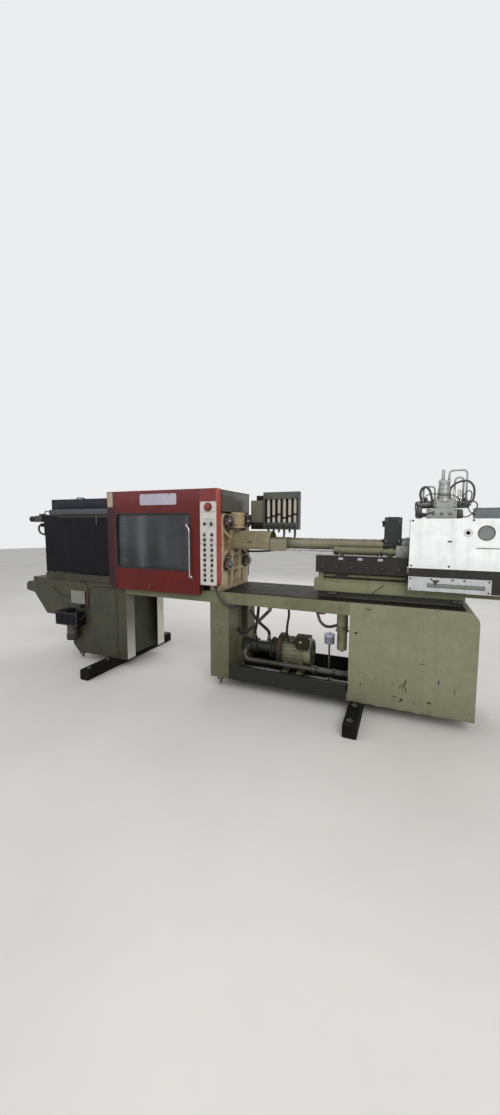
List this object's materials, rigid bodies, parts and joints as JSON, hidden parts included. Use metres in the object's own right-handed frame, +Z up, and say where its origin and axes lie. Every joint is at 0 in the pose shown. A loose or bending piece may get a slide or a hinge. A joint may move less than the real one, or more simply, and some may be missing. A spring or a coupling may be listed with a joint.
{
  "type": "injection moulding machine",
  "caption": "Horizontal injection moulding machine with a dark red sliding guard, control column, black clamp cover, open barrel, white injection cover and olive base on skids.",
  "frame": {"origin": "on the floor, under the middle of the machine's length and depth", "axes": "+X from the clamp end to the injection end, +Y away from the operator, +Z up"},
  "size_m": [4.9, 1.326, 1.88],
  "materials": {
    "base_paint": "aged olive paint, satin",
    "shaded_paint": "aged olive paint, soiled",
    "carriage_paint": "aged yellowish olive paint",
    "door_paint": "dark red, worn gloss",
    "column_paint": "orange red, worn gloss",
    "panel_paint": "white, satin",
    "cover_paint": "white, soiled",
    "black_paint": "near black, satin",
    "skid_paint": "black, matt",
    "platen_paint": "cream over cast iron, stained",
    "slate_paint": "dark slate green",
    "jacket": "stained sheet steel",
    "bare_steel": "machined",
    "chrome_rod": "polished",
    "aluminium": "satin",
    "pane": "clear, aged",
    "hose_rubber": "matt",
    "cable_rubber": "matt",
    "bell_paint": "brown primer, oily",
    "cap_black": "moulded",
    "cap_red": "moulded"
  },
  "bodies": {
    "base": {"skid_beams": "skid_paint", "clamp_bed": "shaded_paint", "clamp_side_sheets": "shaded_paint", "right_leg": "base_paint", "bed_frame": "base_paint", "bed_plate": "black_paint", "cabinet": "base_paint", "levelling_feet": "bare_steel", "slide_ways": "bare_steel", "stationary_platen": "platen_paint", "rear_platen": "platen_paint", "tie_bars": "chrome_rod", "clamp_cylinder": "black_paint", "clamp_cover": "black_paint", "door_tracks": "shaded_paint", "control_column": "column_paint", "control_panel": "panel_paint", "top_guard": "shaded_paint", "guard_pane": "pane", "flow_regulator": "aluminium", "carriage_base": "carriage_paint", "carriage_rod": "chrome_rod", "motor": "base_paint", "bell_housing": "bell_paint", "pump": "slate_paint", "tank_piping": "bare_steel", "return_filter": "carriage_paint", "lubricator": "black_paint", "hydraulic_hoses": "hose_rubber", "panel_cable": "cable_rubber", "water_hoses": "hose_rubber"},
    "clamp": {"moving_platen": "platen_paint", "clamp_ram": "chrome_rod"},
    "ejector": {"ejector_plate": "bare_steel"},
    "front_door": {"operator_door": "door_paint", "door_window": "pane", "door_handle": "bare_steel"},
    "back_door": {"rear_door": "door_paint"},
    "carriage": {"barrel": "bare_steel", "barrel_jacket": "jacket", "nozzle_cover": "jacket", "feed_block": "slate_paint", "injection_housing": "black_paint", "carriage_cylinder": "carriage_paint", "terminal_box": "black_paint", "injection_cover": "cover_paint", "position_strip": "panel_paint", "valve_stack": "bare_steel", "junction_box": "shaded_paint"},
    "injection": {"crosshead": "base_paint"},
    "plasticising": {"screw": "chrome_rod"},
    "drive": {"pump_coupling": "bare_steel"},
    "stop": {"estop_button": "cap_red"},
    "selector": {"key_switch": "cap_black"},
    "button_1": {"push_button_1": "cap_black"},
    "button_2": {"push_button_2": "cap_black"},
    "button_3": {"push_button_3": "cap_black"},
    "button_4": {"push_button_4": "cap_black"},
    "button_5": {"push_button_5": "cap_black"},
    "button_6": {"push_button_6": "cap_black"}
  },
  "joints": [
    {"name": "clamp_slide", "type": "slide", "parent": "base", "child": "clamp", "axis": [1, 0, 0], "range_m": [0, 0.4]},
    {"name": "ejector_slide", "type": "slide", "parent": "clamp", "child": "ejector", "axis": [1, 0, 0], "range_m": [0, 0.07]},
    {"name": "front_door_slide", "type": "slide", "parent": "base", "child": "front_door", "axis": [-1, 0, 0], "range_m": [0, 0.8]},
    {"name": "back_door_slide", "type": "slide", "parent": "base", "child": "back_door", "axis": [-1, 0, 0], "range_m": [0, 0.8]},
    {"name": "carriage_slide", "type": "slide", "parent": "base", "child": "carriage", "axis": [1, 0, 0], "range_m": [0, 0.25]},
    {"name": "injection_slide", "type": "slide", "parent": "carriage", "child": "injection", "axis": [1, 0, 0], "range_m": [0, 0.15]},
    {"name": "screw_spin", "type": "hinge", "parent": "injection", "child": "plasticising", "pos_m": [1.5, 0, 1.3], "axis": [1, 0, 0], "continuous": true},
    {"name": "pump_spin", "type": "hinge", "parent": "base", "child": "drive", "pos_m": [0.454, 0.01, 0.33], "axis": [1, 0, 0], "continuous": true},
    {"name": "stop_press", "type": "slide", "parent": "base", "child": "stop", "axis": [0, 1, 0], "range_m": [0, 0.006], "stiffness_N_per_m": 300},
    {"name": "key_turn", "type": "hinge", "parent": "base", "child": "selector", "pos_m": [-0.0235, -0.38, 1.469], "axis": [0, 1, 0], "range_deg": [0, 60]},
    {"name": "button_1_press", "type": "slide", "parent": "base", "child": "button_1", "axis": [0, 1, 0], "range_m": [0, 0.004], "stiffness_N_per_m": 200},
    {"name": "button_2_press", "type": "slide", "parent": "base", "child": "button_2", "axis": [0, 1, 0], "range_m": [0, 0.004], "stiffness_N_per_m": 200},
    {"name": "button_3_press", "type": "slide", "parent": "base", "child": "button_3", "axis": [0, 1, 0], "range_m": [0, 0.004], "stiffness_N_per_m": 200},
    {"name": "button_4_press", "type": "slide", "parent": "base", "child": "button_4", "axis": [0, 1, 0], "range_m": [0, 0.004], "stiffness_N_per_m": 200},
    {"name": "button_5_press", "type": "slide", "parent": "base", "child": "button_5", "axis": [0, 1, 0], "range_m": [0, 0.004], "stiffness_N_per_m": 200},
    {"name": "button_6_press", "type": "slide", "parent": "base", "child": "button_6", "axis": [0, 1, 0], "range_m": [0, 0.004], "stiffness_N_per_m": 200}
  ]
}
